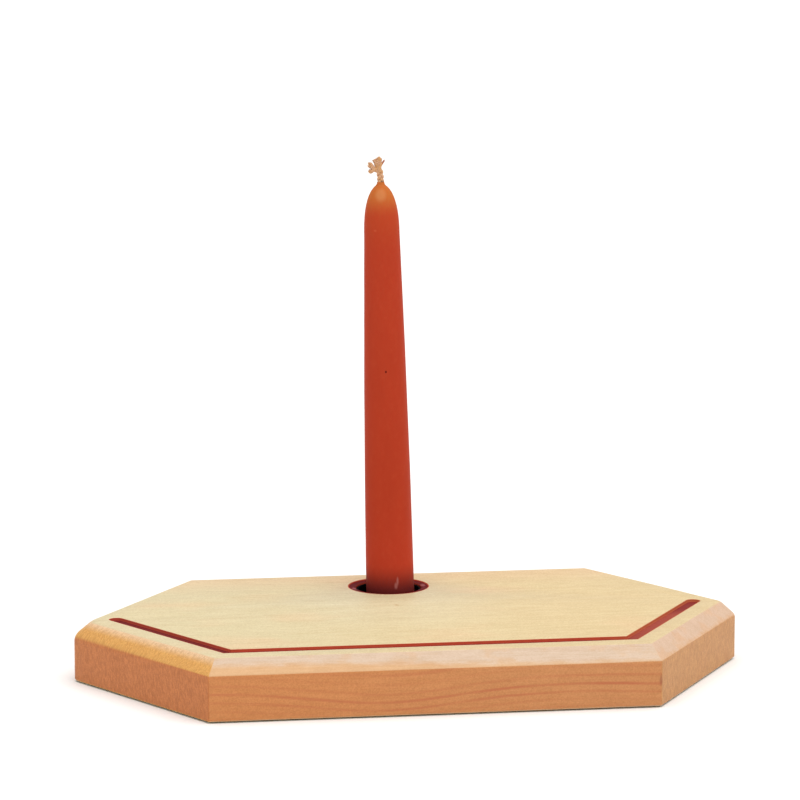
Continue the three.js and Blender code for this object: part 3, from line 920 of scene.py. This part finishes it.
def make_inlay(material):
    corners = hexagon(INLAY_EDGE)[1:3]
    arm = Vector((-math.cos(CORNER_TURN), math.sin(CORNER_TURN))) * INLAY_ARM
    front = (corners[1] - corners[0]).length
    strips = [
        ("inlay_left", corners[0] + arm, -CORNER_TURN, INLAY_ARM, (True, False)),
        ("inlay_front", corners[0], 0, front, (False, False)),
        ("inlay_right", corners[1], CORNER_TURN, INLAY_ARM, (False, True)),
    ]
    for name, *shape in strips:
        strip = new_piece(name.replace("inlay", "strip"), lambda bm: build_strip(bm, *shape))
        finish_piece(strip, material, "base", "red_wood", name)


# ---------------------------------------------------------------- socket

def build_collar(bm):
    outer = SOCKET_RADIUS - JOINT_GAP
    ledge = BOARD_TOP - COLLAR_DEPTH
    inner = COLLAR_THROAT_RADIUS
    corners = [
        Vector((inner, COLLAR_LOW.z)), Vector((outer, COLLAR_LOW.z)), Vector((outer, BOARD_TOP)),
        Vector((outer - LIP, BOARD_TOP)), Vector((outer - LIP - LIP_SLOPE, ledge)),
        Vector((inner, ledge - COLLAR_FALL)),
    ]
    radii = [LIP_EDGE] * 4 + [COLLAR_ROOT] * 2
    add_turned_ring(bm, eased(corners, radii, 4, closed=True), COLLAR_SIDES, (SOCKET.x, SOCKET.y))


def build_cup(bm):
    rim_radius = CUP_HIGH.x - SOCKET.x
    foot = rim_radius - CUP_TAPER
    rim, low = CUP_HIGH.z, CUP_LOW.z
    floor = low + CUP_FLOOR
    hole = SCREW_RADIUS + CUP_HOLE_PLAY
    corners = [
        Vector((hole, low)), Vector((foot, low)), Vector((rim_radius, rim)),
        Vector((rim_radius - CUP_WALL, rim)), Vector((foot - CUP_WALL, floor)),
        Vector((SCREW_HEAD_RADIUS + CUP_SINK_PLAY, floor)), Vector((hole, low + CUP_HOLE_LAND)),
    ]
    radii = [
        CUP_HOLE_EDGE, CUP_CORNER_RADIUS, CUP_RIM_EDGE, CUP_RIM_EDGE,
        CUP_FLOOR_EDGE, CUP_SINK_EDGE, CUP_HOLE_EDGE,
    ]
    add_turned_ring(bm, eased(corners, radii, 5, closed=True), CUP_SIDES, (SOCKET.x, SOCKET.y))


def build_screw(bm):
    """Countersunk screw with a rolled thread below its neck."""
    top, tip = SCREW_HIGH.z, SCREW_LOW.z
    neck = top - (SCREW_HEAD_RADIUS - SCREW_RADIUS) * SCREW_SINK_SLOPE
    core = SCREW_RADIUS - SCREW_THREAD
    rings = []
    for step in range(SCREW_STEPS + 1):
        z = tip + (neck - tip) * step / SCREW_STEPS
        point = min(1.0, 0.06 + (z - tip) / SCREW_POINT_LENGTH)
        blend = min(1.0, (neck - z) / SCREW_RUNOUT)
        ring = []
        for k in range(SCREW_SIDES):
            angle = 2 * math.pi * k / SCREW_SIDES
            wave = abs(((z / SCREW_PITCH + k / SCREW_SIDES) % 1.0) * 2 - 1)
            crest = SCREW_THREAD * max(0.0, wave - 0.35) / 0.65
            radius = (core + crest * blend + (1 - blend) * SCREW_THREAD) * point
            ring.append((SOCKET.x + radius * math.cos(angle), SOCKET.y + radius * math.sin(angle), z))
        rings.append(ring)
    head = [(SCREW_HEAD_RADIUS, top - SCREW_HEAD_EDGE), (SCREW_HEAD_RADIUS - SCREW_HEAD_EDGE, top)]
    add_rings(bm, rings + turned_rings(head, SCREW_SIDES, (SOCKET.x, SOCKET.y)))


def make_socket(red, black, zinc):
    finish_piece(new_piece("collar", build_collar), red, "base", "red_wood", "socket_collar")
    finish_piece(new_piece("cup", build_cup), black, "base", "black_enamel", "candle_cup")
    screw = new_piece("screw", build_screw)
    half, deep = SCREW_SLOT_WIDTH / 2, SCREW_SLOT_DEPTH
    reach = SCREW_HEAD_RADIUS * 1.5
    signs = ((-1, -1), (1, -1), (1, 1), (-1, 1))
    plan = [(SOCKET.x + sx * reach, SOCKET.y + sy * half) for sx, sy in signs]
    cut_away(screw, [prism("slot", plan, SCREW_HIGH.z - deep, SCREW_HIGH.z + deep)])
    finish_piece(screw, zinc, "base", "zinc_steel", "cup_screw")


# ---------------------------------------------------------------- candle

def candle_place():
    """Candle's own frame: its foot at the origin and its axis along +Z."""
    tilt = Vector((0, 0, 1)).rotation_difference(CANDLE_AXIS).to_matrix().to_4x4()
    return Matrix.Translation(CANDLE_FOOT) @ tilt


def candle_radius(height):
    """Radius of the candle at a height above its foot."""
    shoulder = CANDLE_LENGTH - CANDLE_SHOULDER_LENGTH
    if height <= shoulder:
        share = max(0.0, height / shoulder)
        return CANDLE_FOOT_RADIUS - (CANDLE_FOOT_RADIUS - CANDLE_SHOULDER_RADIUS) * share ** CANDLE_SWELL
    share = min(1.0, (height - shoulder) / CANDLE_SHOULDER_LENGTH)
    return CANDLE_SHOULDER_RADIUS * (1 - share ** CANDLE_BEND) ** CANDLE_OGIVE


def candle_profile():
    """(radius, height) pairs up the outside of the candle, with a fine ease at its foot."""
    shoulder = CANDLE_LENGTH - CANDLE_SHOULDER_LENGTH
    start, ease = CANDLE_BODY_START, CANDLE_FOOT_EASE
    heights = [0.0, 0.3 * MM, ease]
    heights += [start + (shoulder - start) * i / BODY_STEPS for i in range(BODY_STEPS + 1)]
    for i in range(1, SHOULDER_STEPS + 1):
        share = CANDLE_TIP_SHARE * math.sin(math.pi / 2 * i / SHOULDER_STEPS)
        heights.append(shoulder + CANDLE_SHOULDER_LENGTH * share)
    profile = [(candle_radius(h) - ease * (1 - min(1.0, h / ease)) ** 2, h) for h in heights]
    tip_radius, tip = profile[-1]
    for i in range(1, NECK_STEPS + 1):
        share = i / NECK_STEPS
        bend = (1 - share) ** CANDLE_NECK_CURVE
        radius = CANDLE_NECK_RADIUS + (tip_radius - CANDLE_NECK_RADIUS) * bend
        profile.append((radius, tip + CANDLE_NECK_RISE * share))
    return profile


def wax_relief(point, depth, frequency, slow):
    x, y, z = point
    return depth * noise.noise(Vector((x, y, z * slow)) * frequency)


def build_candle(bm):
    """Dipped taper: a turned body with the slight unevenness of layered wax."""
    place = candle_place()
    profile = candle_profile()
    top = profile[-1][1]
    bore = (WICK_BORE, 0.0), (WICK_BORE, top - WICK_BORE_DROP)
    rings = turned_rings([bore[0], *profile, bore[1]], CANDLE_SIDES)
    for ring in rings[1:-1]:
        for k, point in enumerate(ring):
            out = Vector((point[0], point[1], 0)).normalized()
            relief = wax_relief(point, *WAX_LUMPS) + wax_relief(point, *WAX_RIPPLES)
            fade = min(1.0, (top - point[2]) / WAX_EVEN_TIP)
            ring[k] = Vector(point) + out * relief * fade * MM
    made = add_rings(bm, [[place @ Vector(p) for p in ring] for ring in rings], caps=False)
    join_rings(bm, made[-1], made[0])


# Wick, in the candle's own frame (millimetres)
NOISE_SEED = 7
WICK_SMOOTH_ANGLE = math.radians(60)
WICK_STEM_TOP = 210.2
STEM_LEAN = 0.014
PLAIT_PITCH = 6.4
PLAIT_WIDTH = (0.78, 1.0)
PLAIT_DEPTH = 0.5
YARN_RADIUS = 0.66
YARN_SIDES = 10
YARN_STEP = 0.4
YARN_END_SHARE = 0.4
WAX_TOP = 203.7
# Fibres of the frayed strands
FIBRE_SIDES = 6
FIBRE_STEPS = 18
FIBRE_RADIUS = 0.40
FIBRE_THINNING = 0.18
FIBRE_END_SHARE = 0.5
FIBRE_LENGTH = (0.82, 0.18)
FIBRE_GATHER = 0.55
FIBRE_TWIST = 2.2
FIBRE_WANDER = 0.28
GOLDEN_TURN = 0.381966
BRANCHES = [
    SimpleNamespace(
        width=1.6, fibres=34, flare=1.2, seed=1,
        path=[(-0.4, 0.0, 208.6), (-0.8, 0.0, 211.0), (-1.7, 0.1, 213.0), (-2.1, 0.1, 215.5)],
    ),
    SimpleNamespace(
        width=1.15, fibres=20, flare=1.05, seed=2,
        path=[(-0.3, -0.1, 208.8), (-0.6, -0.3, 211.4), (-0.4, -0.2, 213.9), (-0.5, 0.0, 216.8)],
    ),
    SimpleNamespace(
        width=1.2, fibres=20, flare=1.1, seed=3,
        path=[(-0.8, 0.1, 208.8), (-2.3, -0.1, 209.7), (-4.0, -0.3, 210.2), (-6.6, -0.5, 214.3)],
    ),
    SimpleNamespace(
        width=0.8, fibres=12, flare=1.0, seed=4,
        path=[(-1.7, -0.3, 210.2), (-3.6, -0.6, 210.6), (-4.4, -0.5, 206.9), (-6.0, -0.4, 210.6)],
    ),
    SimpleNamespace(
        width=0.45, fibres=7, flare=0.6, seed=5,
        path=[(-1.0, -1.0, 209.8), (-0.5, -1.6, 211.3), (0.8, -1.4, 212.8), (2.3, -0.6, 214.8)],
    ),
]


def stem_middle(height):
    """Middle of the wick's stem: on the axis in the wax, then leaning to the left above it."""
    free = max(0.0, height - WAX_TOP)
    return Vector((-STEM_LEAN * free * free, 0, height))


def plait_point(height, yarn):
    """Place of one of the plait's three yarns at a height; the plait loosens above the wax."""
    phase = 2 * math.pi * (height / PLAIT_PITCH + yarn / 3)
    tight, loose = PLAIT_WIDTH
    width = tight + (loose - tight) * min(1.0, max(0.0, height - WAX_TOP))
    return stem_middle(height) + Vector((width * math.sin(phase), PLAIT_DEPTH * math.sin(2 * phase), 0))


def bezier(points, share):
    """Point on the curve that these control points steer."""
    points = [Vector(p) for p in points]
    while len(points) > 1:
        points = [a.lerp(b, share) for a, b in zip(points, points[1:])]
    return points[0]


def build_wick(bm):
    """Plaited stem with its frayed strands."""
    noise.seed_set(NOISE_SEED)
    place = candle_place() @ Matrix.Scale(MM, 4)
    start = WICK_START / MM
    count = int((WICK_STEM_TOP - start) / YARN_STEP)
    heights = [start + (WICK_STEM_TOP - start) * i / count for i in range(count + 1)]
    radii = [YARN_RADIUS * MM] * len(heights)
    radii[0] = radii[-1] = YARN_RADIUS * MM * YARN_END_SHARE
    for yarn in range(3):
        add_tube(bm, [place @ plait_point(h, yarn) for h in heights], radii, YARN_SIDES)
    for branch in BRANCHES:
        add_branch(bm, branch, place)


def add_branch(bm, branch, place):
    """A loosened strand: fibres that start together, twist a little and spread toward their ends."""
    shortest, extra = FIBRE_LENGTH
    for fibre in range(branch.fibres):
        angle = 2 * math.pi * fibre * GOLDEN_TURN
        reach = branch.width * math.sqrt((fibre + 0.5) / branch.fibres)
        length = shortest + extra * noise.noise(Vector((fibre * 3.7, branch.seed * 9.1, 0.5)))
        points, radii = [], []
        for i in range(FIBRE_STEPS + 1):
            share = i / FIBRE_STEPS * length
            spread = FIBRE_GATHER + (branch.flare - FIBRE_GATHER) * share ** 1.5
            turn = angle + FIBRE_TWIST * share
            centre = bezier(branch.path, share)
            before = bezier(branch.path, share - 0.02)
            after = bezier(branch.path, min(1.0, share + 0.02))
            along = (after - before).normalized()
            side = along.cross(Vector((0, 1, 0))).normalized()
            front = along.cross(side)
            offset = (side * math.cos(turn) + front * math.sin(turn)) * reach * spread
            sample = Vector((fibre * 5.3, branch.seed * 3.1, share * 3.5))
            offset += noise.noise_vector(sample) * FIBRE_WANDER * share
            points.append(place @ (centre + offset))
            radii.append((FIBRE_RADIUS - FIBRE_THINNING * share) * MM)
        radii[-1] *= FIBRE_END_SHARE
        add_tube(bm, points, radii, FIBRE_SIDES)


def make_candle(wax, thread):
    finish_piece(new_piece("candle", build_candle), wax, "candle", "red_wax", "candle_wax")
    wick = new_piece("wick", build_wick, WICK_SMOOTH_ANGLE)
    finish_piece(wick, thread, "candle", "cotton", "candle_wick")


# ---------------------------------------------------------------- pads

def build_pad(bm, low, high):
    """Flat felt disc with soft edges."""
    middle = (low + high) / 2
    radius = (high.x - low.x) / 2
    corners = [
        Vector((0, low.z)), Vector((radius, low.z)),
        Vector((radius, high.z)), Vector((0, high.z)),
    ]
    edge = eased(corners, [0, PAD_EDGE, PAD_EDGE, 0], 4, closed=False)
    profile = [(PAD_HUB, low.z), *edge[1:-1], (PAD_HUB, high.z)]
    add_rings(bm, turned_rings(profile, PAD_SIDES, (middle.x, middle.y)))


def make_pads(material):
    for name in PADS:
        pad = new_piece("felt_" + name, lambda bm: build_pad(bm, *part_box(name)))
        finish_piece(pad, material, "base", "felt", name)


# ---------------------------------------------------------------- studio

def make_camera():
    data = bpy.data.cameras.new("camera")
    data.lens = CAMERA_LENS
    data.sensor_width = 36
    data.clip_start = 0.05
    data.clip_end = 60
    camera = bpy.data.objects.new("camera", data)
    bpy.context.scene.collection.objects.link(camera)
    flat = math.cos(CAMERA_ELEVATION)
    back = Vector((
        math.sin(CAMERA_AZIMUTH) * flat,
        -math.cos(CAMERA_AZIMUTH) * flat,
        math.sin(CAMERA_ELEVATION),
    ))
    look = (-back).to_track_quat("-Z", "Y").to_matrix() @ Matrix.Rotation(CAMERA_ROLL, 3, "Z")
    camera.matrix_world = Matrix.Translation(CAMERA_TARGET + back * CAMERA_DISTANCE) @ look.to_4x4()
    bpy.context.scene.camera = camera


def build_floor(bm):
    """Wide disc in rings, the innermost of them closed."""
    rings = add_rings(bm, turned_rings([(r, 0.0) for r in FLOOR_RADII], 64), caps=False)
    bm.faces.new(rings[0])


def make_floor():
    floor = new_piece("floor", build_floor)
    floor.data.materials.append(studio_white())


def make_lights():
    world = bpy.data.worlds.new("studio")
    world.use_nodes = True
    sky = world.node_tree.nodes["Background"]
    sky.inputs["Color"].default_value = SKY_COLOUR
    sky.inputs["Strength"].default_value = WORLD_STRENGTH
    bpy.context.scene.world = world
    data = bpy.data.lights.new("dome", "SUN")
    data.energy = SUN_STRENGTH
    data.angle = SUN_ANGLE
    data.color = SUN_COLOUR
    light = bpy.data.objects.new("dome", data)
    light.rotation_mode = "QUATERNION"
    light.rotation_quaternion = (-Vector(SUN_FROM)).to_track_quat("-Z", "Y")
    bpy.context.scene.collection.objects.link(light)
    bpy.context.scene.view_settings.view_transform = "Standard"


make_camera()
make_floor()
make_lights()
red = red_wood()
make_board(maple())
make_inlay(red)
make_socket(red, black_enamel(), zinc_steel())
make_candle(red_wax(), cotton())
make_pads(felt())
